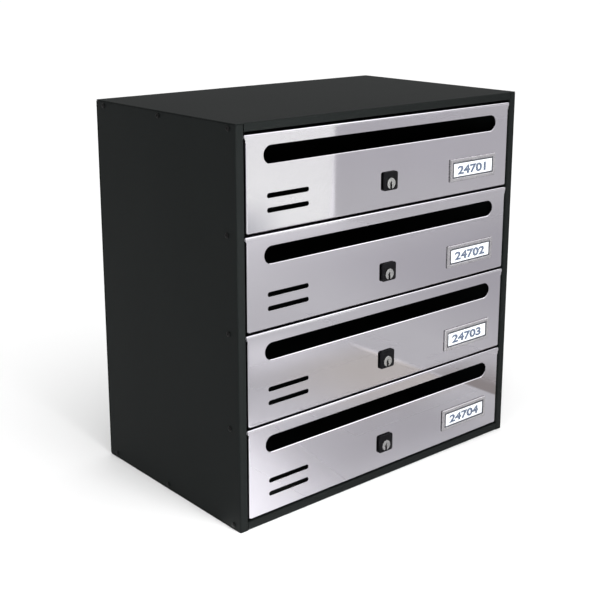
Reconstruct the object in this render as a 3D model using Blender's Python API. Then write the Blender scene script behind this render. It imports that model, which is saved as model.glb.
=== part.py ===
"""Cluster mailbox unit: four top-hinged doors of bare steel in a powder-coated sheet casing.

Metres, +Z up, +X to the right, -Y to the front. The origin is the middle of the underside.
Doors, hinge rods and locks are numbered 1 to 4 from the top down.
"""

import math

import bmesh
import bpy

# Casing
WIDTH = 0.390
DEPTH = 0.240
HEIGHT = 0.400
SHEET = 0.001  # thickness of every sheet
CLEAR = 0.0003  # gap between pieces that touch
FLANGE = 0.0093  # front flange of a side panel
JAMB = 0.008  # return behind a front flange or rail
REAR_FLANGE = 0.012
RAIL = 0.0083  # height of the rails above and below the doors
TURN = 0.011  # flanges that the casing screws hold
WALL_HOLE_RADIUS = 0.0035
WALL_HOLE_X = 0.150
WALL_HOLE_Z = 0.050  # from the underside, and from the top

# Shelves and strike lips
DOOR_GAP = 0.0022
STRIKE_SETBACK = 0.012  # from the front of the casing
SHELF_RISE = 0.0055  # shelf above the middle of the gap between doors
LIP_RISE = 0.006  # strike lip above its shelf

# Doors, measured from the top edge of the door
DOORS = 4
FACE_RECESS = 0.0003
SIDE_GAP = 0.002
ROLL_RADIUS = 0.00265  # outside of the rolled top edge, which turns on the hinge rod
ROLL_EAR = 0.001  # how far the roll stands out past the sides of the door
ROLL_END = -60  # degrees
DOOR_FLANGE = 0.008
SLOT = (0.326, 0.018)
SLOT_DROP = 0.0207
VENT = (0.0512, 0.0048)
VENT_X = -0.1335
VENT_DROPS = (0.0596, 0.0735)
LOCK_DROP = 0.0654  # centre of the lock's head
LOCK_X = 0.0
NAME_DROP = 0.0666  # centre of the name frame
NAME_X = 0.1267

# Hinge rods and casing screws
ROD_RADIUS = 0.0015
ROD_HALF_LENGTH = 0.190
SCREW_RADIUS = 0.0015
HEAD_RADIUS = 0.0027
HEAD_HEIGHT = 0.0012
SCREW_LENGTH = 0.005
SCREW_INSET = 0.0052  # rows of screws, from the top and from the underside
SCREW_SETBACKS = (0.0108, 0.1240, 0.2255)
SHELF_SCREW_SETBACK = 0.0146

# Lock, measured from the door's front face at the plug's axis
HEAD = (0.020, 0.0192)
HEAD_DEPTH = 0.0022
HEAD_CORNER = 0.0025
PLUG_DROP = 0.0023  # plug below the centre of the head
BODY = (0.016, 0.015)
BODY_RISE = 0.0015
BODY_END = 0.0130
FACE_DISC_RADIUS = 0.0057
FACE_DISC_PROUD = 0.0009
FACE_DISC_DEPTH = 0.0022
PLUG_RADIUS = 0.0044
TAIL = 0.005  # across the square tail
TAIL_END = 0.0170
CAM_START = 0.0136
CAM_THICKNESS = 0.0015
CAM_REACH = 0.020
CAM_HALF_WIDTH = 0.0055
KEYWAY = (0.0018, 0.0064)
KEYWAY_END = 0.0040
CLIP_SIDE = 0.004
CLIP_TOP = 0.003

# Name frame and card, measured from the door's front face
FRAME = (0.073, 0.0248)
FRAME_DEPTH = 0.0016
FRAME_CORNER = 0.0008
WINDOW = (0.0655, 0.0176)
POCKET = (0.067, 0.0190)
POCKET_DEPTH = 0.0010
CARD = (0.0662, 0.0182)
CARD_THICKNESS = 0.0005
PEG_RADIUS = 0.0012
PEG_SPACING = 0.070
PEG_END = 0.0035

# Worked out from the above
HALF = WIDTH / 2
FRONT = -DEPTH / 2
BACK = DEPTH / 2
PITCH = (HEIGHT - 2 * RAIL - DOOR_GAP) / DOORS
DOOR_HEIGHT = PITCH - DOOR_GAP
DOOR_HALF = HALF - FLANGE - SIDE_GAP
RAIL_HALF = HALF - FLANGE - CLEAR
SHELF_HALF = HALF - SHEET - CLEAR
SIDE_REAR = BACK - SHEET - CLEAR
STRIKE_Y = FRONT + STRIKE_SETBACK
AXIS_Y = FRONT + FACE_RECESS + ROLL_RADIUS
FACE = -ROLL_RADIUS  # a door's front face, from its hinge axis
PAST = 0.005  # how far a cutter runs past what it cuts

COLOURS = {
    "powder_coat": ((0.030, 0.032, 0.033), 0.45, 0.0),
    "door_steel": ((0.60, 0.59, 0.61), 0.28, 1.0),
    "plain_steel": ((0.55, 0.55, 0.55), 0.40, 1.0),
    "black_plastic": ((0.012, 0.012, 0.013), 0.50, 0.0),
    "chrome": ((0.75, 0.75, 0.76), 0.15, 1.0),
    "frame_metal": ((0.62, 0.62, 0.63), 0.30, 1.0),
    "card": ((0.85, 0.87, 0.90), 0.60, 0.0),
    "screw_black": ((0.010, 0.010, 0.010), 0.40, 0.5),
}


def clear_scene():
    for old in list(bpy.data.objects):
        bpy.data.objects.remove(old)


def materials():
    made = {}
    for name, (colour, roughness, metallic) in COLOURS.items():
        made[name] = bpy.data.materials.new(name)
        made[name].use_nodes = True
        shader = made[name].node_tree.nodes["Principled BSDF"]
        shader.inputs["Base Color"].default_value = (*colour, 1.0)
        shader.inputs["Roughness"].default_value = roughness
        shader.inputs["Metallic"].default_value = metallic
    return made


# Outlines


def rectangle(low, high):
    return [(low[0], low[1]), (high[0], low[1]), (high[0], high[1]), (low[0], high[1])]


def arc(centre, radius, start, end, steps):
    """Points from one angle to another, in degrees."""
    angles = [math.radians(start + (end - start) * i / steps) for i in range(steps + 1)]
    return [(centre[0] + radius * math.cos(a), centre[1] + radius * math.sin(a)) for a in angles]


def circle(centre, radius, sides):
    return arc(centre, radius, 0, 360, sides)[:-1]


def rounded(centre, size, corner, steps):
    """A rectangle with round corners."""
    right = size[0] / 2 - corner
    top = size[1] / 2 - corner
    outline = []
    for turn, (side, up) in enumerate(((1, 1), (-1, 1), (-1, -1), (1, -1))):
        middle = (centre[0] + side * right, centre[1] + up * top)
        outline += arc(middle, corner, 90 * turn, 90 * turn + 90, steps)
    return outline


def stadium(centre, size):
    """A slot's outline: both its ends are half circles."""
    radius = size[1] / 2
    reach = size[0] / 2 - radius
    right = arc((centre[0] + reach, centre[1]), radius, -90, 90, 16)
    left = arc((centre[0] - reach, centre[1]), radius, 90, 270, 16)
    return right + left


def bent_sheet(path):
    """The outline of a sheet that follows a path and has its thickness on the path's right."""
    inner = []
    for i, point in enumerate(path):
        before = direction(path[i - 1], point) if i else direction(point, path[1])
        after = direction(point, path[i + 1]) if i + 1 < len(path) else before
        mitre = (before[0] + after[0], before[1] + after[1])
        scale = 2 * SHEET / (mitre[0] ** 2 + mitre[1] ** 2)
        inner.append((point[0] + mitre[1] * scale, point[1] - mitre[0] * scale))
    return path + inner[::-1]


def direction(start, end):
    length = math.dist(start, end)
    return ((end[0] - start[0]) / length, (end[1] - start[1]) / length)


# Solids. Each is a function that adds one closed body to a bmesh.


def prism(axis, outline, start, end):
    """An outline in the two other axes, extruded along X, Y or Z."""

    def add(mesh):
        rings = []
        for along in (start, end):
            points = [list(point) for point in outline]
            for point in points:
                point.insert("XYZ".index(axis), along)
            rings.append([mesh.verts.new(point) for point in points])
        mesh.faces.new(rings[0])
        mesh.faces.new(rings[1][::-1])
        join_rings(mesh, *rings)

    return add


def box(low, high):
    return prism("Z", rectangle(low, high), low[2], high[2])


def turned(axis, centre, profile, sides):
    """A round piece. Its profile gives (place along the axis, radius) from end to end."""

    def add(mesh):
        rings = []
        for along, radius in profile:
            points = [list(point) for point in circle(centre, radius, sides)]
            for point in points:
                point.insert("XYZ".index(axis), along)
            rings.append([mesh.verts.new(point) for point in points])
        for one, other in zip(rings, rings[1:]):
            join_rings(mesh, one, other)
        mesh.faces.new(rings[0])
        mesh.faces.new(rings[-1][::-1])

    return add


def join_rings(mesh, one, other):
    for i in range(len(one)):
        mesh.faces.new((one[i - 1], one[i], other[i], other[i - 1]))


# Objects


def mesh_object(name, solids, parent):
    mesh = bmesh.new()
    for add in solids:
        add(mesh)
    bmesh.ops.recalc_face_normals(mesh, faces=mesh.faces)
    data = bpy.data.meshes.new(name)
    mesh.to_mesh(data)
    mesh.free()
    made = bpy.data.objects.new(name, data)
    made.parent = parent
    bpy.context.scene.collection.objects.link(made)
    return made


def helper(name, solids, parent):
    """A hidden object that a Boolean joins to a piece or cuts from it."""
    made = mesh_object(name, solids, parent)
    made.hide_render = True
    made.display_type = "WIRE"
    return made


def boolean(made, operation, label, solids):
    modifier = made.modifiers.new(label, "BOOLEAN")
    modifier.operation = operation
    modifier.solver = "EXACT"
    modifier.object = helper(f"{made.name}_{label}", solids, made.parent)


def piece(name, material, base, joined=(), cut=(), parent=None):
    """One sub-part: a base solid, with other solids joined to it and others cut from it."""
    made = mesh_object(name, [base], parent)
    made.data.materials.append(material)
    made.data.shade_smooth()
    made.data.set_sharp_from_angle(angle=math.radians(30))
    if joined:
        boolean(made, "UNION", "joined", joined)
    if cut:
        boolean(made, "DIFFERENCE", "cut", cut)
    return made


def joint_empty(name, place, parent=None):
    made = bpy.data.objects.new(name, None)
    made.location = place
    made.parent = parent
    bpy.context.scene.collection.objects.link(made)
    return made


# Heights that the casing and the doors share


def door_top(number):
    return HEIGHT - RAIL - DOOR_GAP - (number - 1) * PITCH


def hinge_height(number):
    return door_top(number) - ROLL_RADIUS


def gap_height(number):
    """Middle of the gap below a door."""
    return door_top(number) - DOOR_HEIGHT - DOOR_GAP / 2


def screw_places():
    """(y, z) of the casing screws, the same on both sides."""
    rows = [(FRONT + back, z) for z in (HEIGHT - SCREW_INSET, SCREW_INSET) for back in SCREW_SETBACKS]
    shelves = [(FRONT + SHELF_SCREW_SETBACK, gap_height(n)) for n in range(1, DOORS)]
    return rows + shelves


def screw_holes(side, places):
    low, high = sorted((side * (HALF - 4 * SHEET), side * (HALF + PAST)))
    return [prism("X", circle(place, SCREW_RADIUS + CLEAR, 12), low, high) for place in places]


# Casing


def side_panel(name, side, steel):
    """A sheet with a front flange and jamb, and a flange at the rear. side is -1 or 1."""
    path = [
        (HALF - FLANGE, FRONT + JAMB),
        (HALF - FLANGE, FRONT),
        (HALF, FRONT),
        (HALF, SIDE_REAR),
        (HALF - REAR_FLANGE, SIDE_REAR),
    ]
    outline = bent_sheet([(-x, y) for x, y in path])
    outline = [(-side * x, y) for x, y in outline]
    base = prism("Z", outline, SHEET + CLEAR, HEIGHT - SHEET - CLEAR)
    low, high = sorted((side * (HALF - FLANGE - PAST), side * (HALF - 2 * SHEET)))
    hinge_holes = [
        prism("X", circle((AXIS_Y, hinge_height(n)), ROD_RADIUS + CLEAR, 12), low, high)
        for n in range(1, DOORS + 1)
    ]
    piece(name, steel, base, cut=screw_holes(side, screw_places()) + hinge_holes)


def turned_flanges(low, high):
    """The flanges inside the two side panels, between two heights."""
    flanges = []
    for side in (-1, 1):
        left, right = sorted((side * SHELF_HALF, side * (SHELF_HALF - SHEET)))
        flanges.append(box((left, FRONT + 2 * SHEET, low), (right, SIDE_REAR - 2 * SHEET, high)))
    return flanges


def panel_screw_holes(z):
    places = [(FRONT + back, z) for back in SCREW_SETBACKS]
    return screw_holes(-1, places) + screw_holes(1, places)


def top_panel(steel):
    base = box((-HALF, FRONT, HEIGHT - SHEET), (HALF, BACK, HEIGHT))
    rail_path = [
        (FRONT + JAMB, HEIGHT - RAIL),
        (FRONT, HEIGHT - RAIL),
        (FRONT, HEIGHT - SHEET / 2),
    ]
    rail = prism("X", bent_sheet(rail_path), -RAIL_HALF, RAIL_HALF)
    flanges = turned_flanges(HEIGHT - TURN, HEIGHT - SHEET / 2)
    holes = panel_screw_holes(HEIGHT - SCREW_INSET)
    piece("top_panel", steel, base, joined=[rail, *flanges], cut=holes)


def bottom_panel(steel):
    """The floor of the lowest box, with the lower rail and its strike lip."""
    base = box((-HALF, FRONT, 0), (HALF, BACK, SHEET))
    rail_path = [
        (FRONT, SHEET / 2),
        (FRONT, RAIL),
        (STRIKE_Y, RAIL),
        (STRIKE_Y, gap_height(DOORS) + SHELF_RISE + LIP_RISE),
    ]
    rail = prism("X", bent_sheet(rail_path), -RAIL_HALF, RAIL_HALF)
    flanges = turned_flanges(SHEET / 2, TURN)
    piece("bottom_panel", steel, base, joined=[rail, *flanges], cut=panel_screw_holes(SCREW_INSET))


def back_panel(steel):
    base = box((-HALF, BACK - SHEET, SHEET + CLEAR), (HALF, BACK, HEIGHT - SHEET - CLEAR))
    holes = [
        prism("Y", circle((x, z), WALL_HOLE_RADIUS, 20), BACK - PAST, BACK + PAST)
        for x in (-WALL_HOLE_X, WALL_HOLE_X)
        for z in (WALL_HOLE_Z, HEIGHT - WALL_HOLE_Z)
    ]
    piece("back_panel", steel, base, cut=holes)


def shelf(number, steel):
    """The shelf below a door, with its strike lip along the front."""
    top = gap_height(number) + SHELF_RISE
    path = [
        (-SHELF_HALF, top - TURN),
        (-SHELF_HALF, top),
        (SHELF_HALF, top),
        (SHELF_HALF, top - TURN),
    ]
    base = prism("Y", bent_sheet(path), STRIKE_Y, SIDE_REAR - SHEET - CLEAR)
    lip = box((-SHELF_HALF, STRIKE_Y, top - SHEET), (SHELF_HALF, STRIKE_Y + SHEET, top + LIP_RISE))
    places = [(FRONT + SHELF_SCREW_SETBACK, gap_height(number))]
    holes = screw_holes(-1, places) + screw_holes(1, places)
    piece(f"shelf_{number}", steel, base, joined=[lip], cut=holes)


def casing_screws(black):
    seat = HALF + CLEAR
    profile = [
        (seat - SCREW_LENGTH, SCREW_RADIUS),
        (seat, SCREW_RADIUS),
        (seat, HEAD_RADIUS),
        (seat + HEAD_HEIGHT / 2, HEAD_RADIUS),
        (seat + HEAD_HEIGHT, HEAD_RADIUS * 0.6),
    ]
    for name, side in (("left", -1), ("right", 1)):
        shape = [(side * along, radius) for along, radius in profile]
        for number, place in enumerate(screw_places(), 1):
            piece(f"casing_screw_{name}_{number}", black, turned("X", place, shape, 12))


def hinge_rod(number, steel):
    profile = [(-ROD_HALF_LENGTH, ROD_RADIUS), (ROD_HALF_LENGTH, ROD_RADIUS)]
    place = (AXIS_Y, hinge_height(number))
    piece(f"hinge_rod_{number}", steel, turned("X", place, profile, 16))


# Doors, in the frame of their hinge axis


def door(number, hinge, steel):
    """A tray with flanges down both sides and along the foot, and its top edge rolled."""
    foot = ROLL_RADIUS - DOOR_HEIGHT
    roll = arc((0, 0), ROLL_RADIUS, 180, ROLL_END, 16)
    tray_path = [(FACE + DOOR_FLANGE, foot), (FACE, foot), *roll]
    base = prism("X", bent_sheet(tray_path), -DOOR_HALF, DOOR_HALF)
    ear_path = [(FACE, -ROLL_RADIUS), *roll]
    ears = []
    flanges = []
    for side in (-1, 1):
        inner, outer = sorted((side * (DOOR_HALF - SHEET), side * (DOOR_HALF + ROLL_EAR)))
        ears.append(prism("X", bent_sheet(ear_path), inner, outer))
        inner, outer = sorted((side * (DOOR_HALF - SHEET), side * DOOR_HALF))
        low = (inner, FACE + SHEET / 2, foot + SHEET / 2)
        flanges.append(box(low, (outer, FACE + DOOR_FLANGE, -2 * ROLL_RADIUS)))
    piece(f"door_{number}", steel, base, joined=ears + flanges, cut=door_cutters(), parent=hinge)


def door_cutters():
    start = FACE - PAST
    end = FACE + SHEET + PAST / 2
    slot = prism("Y", stadium((0, ROLL_RADIUS - SLOT_DROP), SLOT), start, end)
    vents = [
        prism("Y", stadium((VENT_X, ROLL_RADIUS - drop), VENT), start, end) for drop in VENT_DROPS
    ]
    centre = (LOCK_X, ROLL_RADIUS - LOCK_DROP - PLUG_DROP + BODY_RISE)
    half = (BODY[0] / 2 + CLEAR, BODY[1] / 2 + CLEAR)
    low = (centre[0] - half[0], centre[1] - half[1])
    high = (centre[0] + half[0], centre[1] + half[1])
    lock_hole = prism("Y", rectangle(low, high), start, end)
    peg_holes = [
        prism("Y", circle(place, PEG_RADIUS + CLEAR, 12), start, end) for place in peg_places()
    ]
    return [slot, *vents, lock_hole, *peg_holes]


def peg_places():
    z = ROLL_RADIUS - NAME_DROP
    return [(NAME_X - PEG_SPACING / 2, z), (NAME_X + PEG_SPACING / 2, z)]


def name_frame(number, hinge, metal):
    """A frame with a window in front, a wider pocket behind for the card, and two pegs."""
    centre = (NAME_X, ROLL_RADIUS - NAME_DROP)
    front = FACE - CLEAR - FRAME_DEPTH
    base = prism("Y", rounded(centre, FRAME, FRAME_CORNER, 3), front, FACE - CLEAR)
    root = FACE - CLEAR - POCKET_DEPTH / 2
    pegs = [prism("Y", circle(place, PEG_RADIUS, 12), root, FACE + PEG_END) for place in peg_places()]
    window = prism("Y", rounded(centre, WINDOW, FRAME_CORNER, 3), front - PAST, FACE)
    pocket = prism("Y", rectangle(*corners(centre, POCKET)), FACE - CLEAR - POCKET_DEPTH, FACE)
    made = piece(f"name_frame_{number}", metal, base, joined=pegs, cut=[window], parent=hinge)
    boolean(made, "DIFFERENCE", "pocket", [pocket])


def corners(centre, size):
    low = (centre[0] - size[0] / 2, centre[1] - size[1] / 2)
    high = (centre[0] + size[0] / 2, centre[1] + size[1] / 2)
    return low, high


def name_card(number, hinge, card):
    centre = (NAME_X, ROLL_RADIUS - NAME_DROP)
    front = FACE - POCKET_DEPTH
    outline = rectangle(*corners(centre, CARD))
    piece(f"name_card_{number}", card, prism("Y", outline, front, front + CARD_THICKNESS), parent=hinge)


# Locks, in the frame of the plug's axis at the door's front face


def lock_housing(number, axis, plastic):
    """The head outside the door and the body behind it, bored for the plug."""
    head = rounded((0, PLUG_DROP), HEAD, HEAD_CORNER, 5)
    front = -CLEAR - HEAD_DEPTH
    base = prism("Y", head, front, -CLEAR)
    body = prism("Y", rectangle(*corners((0, BODY_RISE), BODY)), -CLEAR - SHEET, BODY_END)
    seat = front + FACE_DISC_DEPTH - FACE_DISC_PROUD + CLEAR
    bore = turned(
        "Y",
        (0, 0),
        [
            (front - PAST, FACE_DISC_RADIUS + CLEAR),
            (seat, FACE_DISC_RADIUS + CLEAR),
            (seat, PLUG_RADIUS + CLEAR),
            (BODY_END + PAST, PLUG_RADIUS + CLEAR),
        ],
        24,
    )
    piece(f"lock_housing_{number}", plastic, base, joined=[body], cut=[bore], parent=axis)


def lock_clip(number, axis, steel):
    """A fork pushed down over the body behind the door, which holds the lock in."""
    left, top = -BODY[0] / 2 - CLEAR, BODY_RISE + BODY[1] / 2 + CLEAR
    bottom = BODY_RISE - BODY[1] / 2
    outline = [
        (left - CLIP_SIDE, bottom),
        (left, bottom),
        (left, top),
        (-left, top),
        (-left, bottom),
        (-left + CLIP_SIDE, bottom),
        (-left + CLIP_SIDE, top + CLIP_TOP),
        (left - CLIP_SIDE, top + CLIP_TOP),
    ]
    start = SHEET + CLEAR
    piece(f"lock_clip_{number}", steel, prism("Y", outline, start, start + SHEET), parent=axis)


def lock_plug(number, axis, chrome):
    """The turning part: a face disc with the keyway, a barrel, and a square tail."""
    front = -CLEAR - HEAD_DEPTH - FACE_DISC_PROUD
    shoulder = front + FACE_DISC_DEPTH
    barrel_end = CAM_START - CLEAR
    profile = [
        (front, FACE_DISC_RADIUS - CLEAR),
        (front + CLEAR, FACE_DISC_RADIUS),
        (shoulder, FACE_DISC_RADIUS),
        (shoulder, PLUG_RADIUS),
        (barrel_end, PLUG_RADIUS),
    ]
    base = turned("Y", (0, 0), profile, 24)
    tail = prism("Y", rectangle(*corners((0, 0), (TAIL, TAIL))), barrel_end - SHEET, TAIL_END)
    keyway = prism("Y", rectangle(*corners((0, 0), KEYWAY)), front - PAST, KEYWAY_END)
    piece(f"lock_plug_{number}", chrome, base, joined=[tail], cut=[keyway], parent=axis)


def lock_cam(number, axis, steel):
    """A flat tongue on the plug's tail. It points right, and a quarter turn brings it down."""
    tip = arc((CAM_REACH - CAM_HALF_WIDTH, 0), CAM_HALF_WIDTH, -90, 90, 10)
    outline = tip + arc((0, 0), CAM_HALF_WIDTH, 90, 270, 10)
    hole_side = TAIL + 2 * CLEAR
    hole = prism(
        "Y", rectangle(*corners((0, 0), (hole_side, hole_side))), CAM_START - PAST, TAIL_END + PAST
    )
    base = prism("Y", outline, CAM_START, CAM_START + CAM_THICKNESS)
    piece(f"lock_cam_{number}", steel, base, cut=[hole], parent=axis)


def build_casing(look):
    side_panel("side_panel_left", -1, look["powder_coat"])
    side_panel("side_panel_right", 1, look["powder_coat"])
    top_panel(look["powder_coat"])
    bottom_panel(look["powder_coat"])
    back_panel(look["powder_coat"])
    for number in range(1, DOORS):
        shelf(number, look["powder_coat"])
    casing_screws(look["screw_black"])


def build_door(number, look):
    hinge_rod(number, look["plain_steel"])
    hinge = joint_empty(f"door_{number}_hinge", (0, AXIS_Y, hinge_height(number)))
    door(number, hinge, look["door_steel"])
    name_frame(number, hinge, look["frame_metal"])
    name_card(number, hinge, look["card"])
    lock_z = ROLL_RADIUS - LOCK_DROP - PLUG_DROP
    axis = joint_empty(f"lock_{number}_axis", (LOCK_X, FACE, lock_z), hinge)
    lock_housing(number, axis, look["black_plastic"])
    lock_clip(number, axis, look["plain_steel"])
    lock_plug(number, axis, look["chrome"])
    lock_cam(number, axis, look["plain_steel"])


def main():
    clear_scene()
    look = materials()
    build_casing(look)
    for number in range(1, DOORS + 1):
        build_door(number, look)


main()
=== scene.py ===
"""Looks of the cluster mailbox unit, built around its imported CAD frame. Metres, +Z up, -Y to the front."""

import math

import bmesh
import bpy
from mathutils import Matrix, Vector

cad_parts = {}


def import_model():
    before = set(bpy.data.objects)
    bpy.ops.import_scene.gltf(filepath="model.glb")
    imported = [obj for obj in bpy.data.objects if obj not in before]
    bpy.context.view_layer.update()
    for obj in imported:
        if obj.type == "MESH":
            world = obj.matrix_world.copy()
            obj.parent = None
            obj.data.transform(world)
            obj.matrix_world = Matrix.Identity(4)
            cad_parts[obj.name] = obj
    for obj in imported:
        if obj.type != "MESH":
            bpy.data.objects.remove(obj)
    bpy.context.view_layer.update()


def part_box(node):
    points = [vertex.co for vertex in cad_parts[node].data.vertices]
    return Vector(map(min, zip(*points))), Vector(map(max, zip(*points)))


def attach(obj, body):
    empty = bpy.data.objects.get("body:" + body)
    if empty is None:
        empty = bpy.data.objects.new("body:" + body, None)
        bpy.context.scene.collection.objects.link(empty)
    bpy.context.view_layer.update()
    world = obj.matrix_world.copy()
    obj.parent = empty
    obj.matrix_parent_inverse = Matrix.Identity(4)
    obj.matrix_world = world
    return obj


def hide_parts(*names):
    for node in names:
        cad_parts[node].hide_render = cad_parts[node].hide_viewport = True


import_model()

# Sheet metal
SHEET = 0.001
CLEAR = 0.0003  # gap between pieces that touch
BEND = 0.0014  # outside radius of a fold
EDGE = 0.00018  # softened edges
FOLD_STEPS = 7
SHARP_TURN = 30  # degrees; a path that turns less stays as it is
OVERLAP = 0.006  # how far two solids that are joined run into each other
PAST = 0.005  # how far a cutter runs past what it cuts

# Casing
FLANGE = 0.0093
JAMB = 0.008
REAR_FLANGE = 0.012
RAIL = 0.0083
TURN = 0.011  # how far the flanges for the screws are turned up or down
PLAN_CORNER = 0.0014
PLAN_CORNER_STEPS = 5
WALL_HOLE_RADIUS = 0.0035
WALL_HOLE_X = 0.150
WALL_HOLE_Z = 0.050
WELD_RADIUS = 0.0024
WELD_SLOPE = 0.3  # of the radius, to either side of it
WELD_DEPTH = 0.00025
WELD_INSET = 0.0065
WELDS = 7
LIP_RISE = 0.006

# Doors
DOORS = 4
ROLL_RADIUS = 0.00265
ROLL_EAR = 0.001
ROLL_END = -60  # degrees
ROLL_STEPS = 24
EAR_CORNER = 0.0016
DOOR_FLANGE = 0.008
SLOT = (0.326, 0.018)
SLOT_DROP = 0.0207
SLOT_LIP = 0.0006  # how far the lower edge of the slot slopes
VENT = (0.0512, 0.0048)
VENT_X = -0.1335
VENT_DROPS = (0.0596, 0.0735)

# Hinge rods and casing screws
ROD_RADIUS = 0.0015
SCREW_RADIUS = 0.0015
HEAD_RADIUS = 0.0027
HEAD_HEIGHT = 0.0012
SCREW_LENGTH = 0.005
SCREW_TIP_LENGTH = 0.00075
SCREW_TIP_RADIUS = 0.0009
DOME_ANGLES = (0, 15, 30, 45, 60, 72, 82)  # degrees
DOME_POWER = 0.6  # below 1, the dome is fuller than a circle
RECESS = (0.0030, 0.0006)
RECESS_DEPTH = 0.0007
SCREWS_PER_SIDE = 9

# Locks
HEAD = (0.020, 0.0192)
HEAD_DEPTH = 0.0022
HEAD_CORNER = 0.0025
HEAD_EDGE = 0.0006
PLUG_DROP = 0.0023
BODY = (0.016, 0.015)
BODY_RISE = 0.0015
BODY_END = 0.0130
FACE_DISC_RADIUS = 0.0057
FACE_DISC_PROUD = 0.0009
FACE_DISC_DEPTH = 0.0022
PLUG_RADIUS = 0.0044
TAIL = 0.005
TAIL_END = 0.0170
CAM_START = 0.0136
CAM_THICKNESS = 0.0015
CAM_REACH = 0.020
CAM_HALF_WIDTH = 0.0055
CAM_SCREW_RADIUS = 0.0028
CAM_WASHER_RADIUS = 0.0036
CAM_SCREW_CROWN = ((1.0, 0.92), (1.4, 0.6))  # height in thicknesses of sheet, and share of the radius
KEYWAY = (
    (0.0004, 0.0023), (-0.0006, 0.0023), (-0.0024, -0.0003), (-0.0018, -0.0020),
    (-0.0020, -0.0064), (0.0008, -0.0064), (0.0008, -0.0024), (0.0003, -0.0004),
)
KEYWAY_END = 0.0060
WAFER_DROP = 0.0022  # wafers behind the face of the plug
WAFER_WIDTH = 0.95  # of the keyway's
CLIP_SIDE = 0.004
CLIP_TOP = 0.003

# Name frames and cards
FRAME = (0.073, 0.0248)
FRAME_DEPTH = 0.0016
FRAME_CORNER = 0.0008
FRAME_CHAMFER = (0.0006, 0.0012)  # across the face, and in depth
WINDOW_CHAMFER = 0.0003
WINDOW = (0.0655, 0.0176)
POCKET = (0.067, 0.0190)
POCKET_DEPTH = 0.0010
# width of the dark band round the window; the band is painted shade for the window's recess
WINDOW_SHADE_WIDTH = 0.0016
PANE_THICKNESS = 0.0003
PEG_RADIUS = 0.0012
PEG_SPACING = 0.070
PEG_END = 0.0035
NUMBER_SIZE = 0.0122
NUMBER_STRETCH = 1.60
NUMBER_WEIGHT = 0.00056
NUMBER_DROP = 0.0010
INK = 0.00004  # thickness
FIRST_NUMBER = 24701

# Camera and light
LENS = 66.9  # millimetres
CAMERA = (-0.7901, -0.9053, 0.5407)
YAW = 40.498  # degrees
PITCH = 13.466  # degrees
SHIFT_Y = -0.12
FLOOR = (120.0, 120.0)
SKY_LEVEL = 0.46
SKY_SLOPE = (-0.12, -0.22, 0.76)  # how fast the sky brightens towards X, Y and Z
SEEN_SKY = 1.05  # what the camera sees behind everything
SUN_STRENGTH = 0.6
SUN_SPREAD = 60  # degrees
SUN_DIRECTION = (-0.25, 0.45, -0.9)
PANEL = (-0.01, -1.07, 0.205)  # a light panel that stands in front of the doors
PANEL_SIZE = (1.60, 0.45)
FILL = (-0.19, -0.42, 0.28)  # close to the left edge of the doors


# Outlines


def arc(centre, radius, start, end, steps):
    """Points from one angle to another, in degrees."""
    angles = [math.radians(start + (end - start) * i / steps) for i in range(steps + 1)]
    return [(centre[0] + radius * math.cos(a), centre[1] + radius * math.sin(a)) for a in angles]


def circle(centre, radius, sides):
    return arc(centre, radius, 0, 360, sides)[:-1]


def rectangle(low, high):
    return [(low[0], low[1]), (high[0], low[1]), (high[0], high[1]), (low[0], high[1])]


def centred(centre, size):
    """A rectangle by its centre and size."""
    half = (size[0] / 2, size[1] / 2)
    return rectangle((centre[0] - half[0], centre[1] - half[1]), (centre[0] + half[0], centre[1] + half[1]))


def rounded(centre, size, corner, steps):
    right = size[0] / 2 - corner
    top = size[1] / 2 - corner
    outline = []
    for turn, (side, up) in enumerate(((1, 1), (-1, 1), (-1, -1), (1, -1))):
        middle = (centre[0] + side * right, centre[1] + up * top)
        outline += arc(middle, corner, 90 * turn, 90 * turn + 90, steps)
    return outline


def stadium(centre, size):
    """A slot: both its ends are half circles."""
    radius = size[1] / 2
    reach = size[0] / 2 - radius
    right = arc((centre[0] + reach, centre[1]), radius, -90, 90, steps=20)
    return right + arc((centre[0] - reach, centre[1]), radius, 90, 270, steps=20)


def direction(start, end):
    length = math.dist(start, end)
    return ((end[0] - start[0]) / length, (end[1] - start[1]) / length)


def turn_angle(before, after):
    """Positive to the left."""
    cross = before[0] * after[1] - before[1] * after[0]
    return math.atan2(cross, before[0] * after[0] + before[1] * after[1])


def offset_right(path, distance):
    """The path moved to its right by a distance, with mitred corners."""
    moved = []
    for i, point in enumerate(path):
        before = direction(path[i - 1], point) if i else direction(point, path[1])
        after = direction(point, path[i + 1]) if i + 1 < len(path) else before
        mitre = (before[0] + after[0], before[1] + after[1])
        scale = 2 * distance / (mitre[0] ** 2 + mitre[1] ** 2)
        moved.append((point[0] + mitre[1] * scale, point[1] - mitre[0] * scale))
    return moved


def fillet(path, outer_turn):
    """The path with its sharp corners rounded: BEND where it turns outer_turn's way, or a sheet less."""
    made = [path[0]]
    for i in range(1, len(path) - 1):
        before, after = direction(path[i - 1], path[i]), direction(path[i], path[i + 1])
        angle = turn_angle(before, after)
        if abs(angle) < math.radians(SHARP_TURN):
            made.append(path[i])
            continue
        radius = BEND if angle * outer_turn > 0 else BEND - SHEET
        side = math.copysign(1, angle)
        back = radius * math.tan(abs(angle) / 2)
        start = (path[i][0] - before[0] * back, path[i][1] - before[1] * back)
        centre = (start[0] - side * before[1] * radius, start[1] + side * before[0] * radius)
        first = math.degrees(math.atan2(start[1] - centre[1], start[0] - centre[0]))
        made += arc(centre, radius, first, first + math.degrees(angle), FOLD_STEPS)
    return made + [path[-1]]


def folded(path):
    """The outline of a sheet that follows a path on the path's right, with round folds."""
    return fillet(path, -1) + fillet(offset_right(path, SHEET), 1)[::-1]


def mirrored(outline, side):
    """An outline drawn for the left side, or its mirror image for side 1."""
    return [(-side * x, y) for x, y in outline]


# Solids. Each is a function that adds one closed body to a bmesh.


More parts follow.
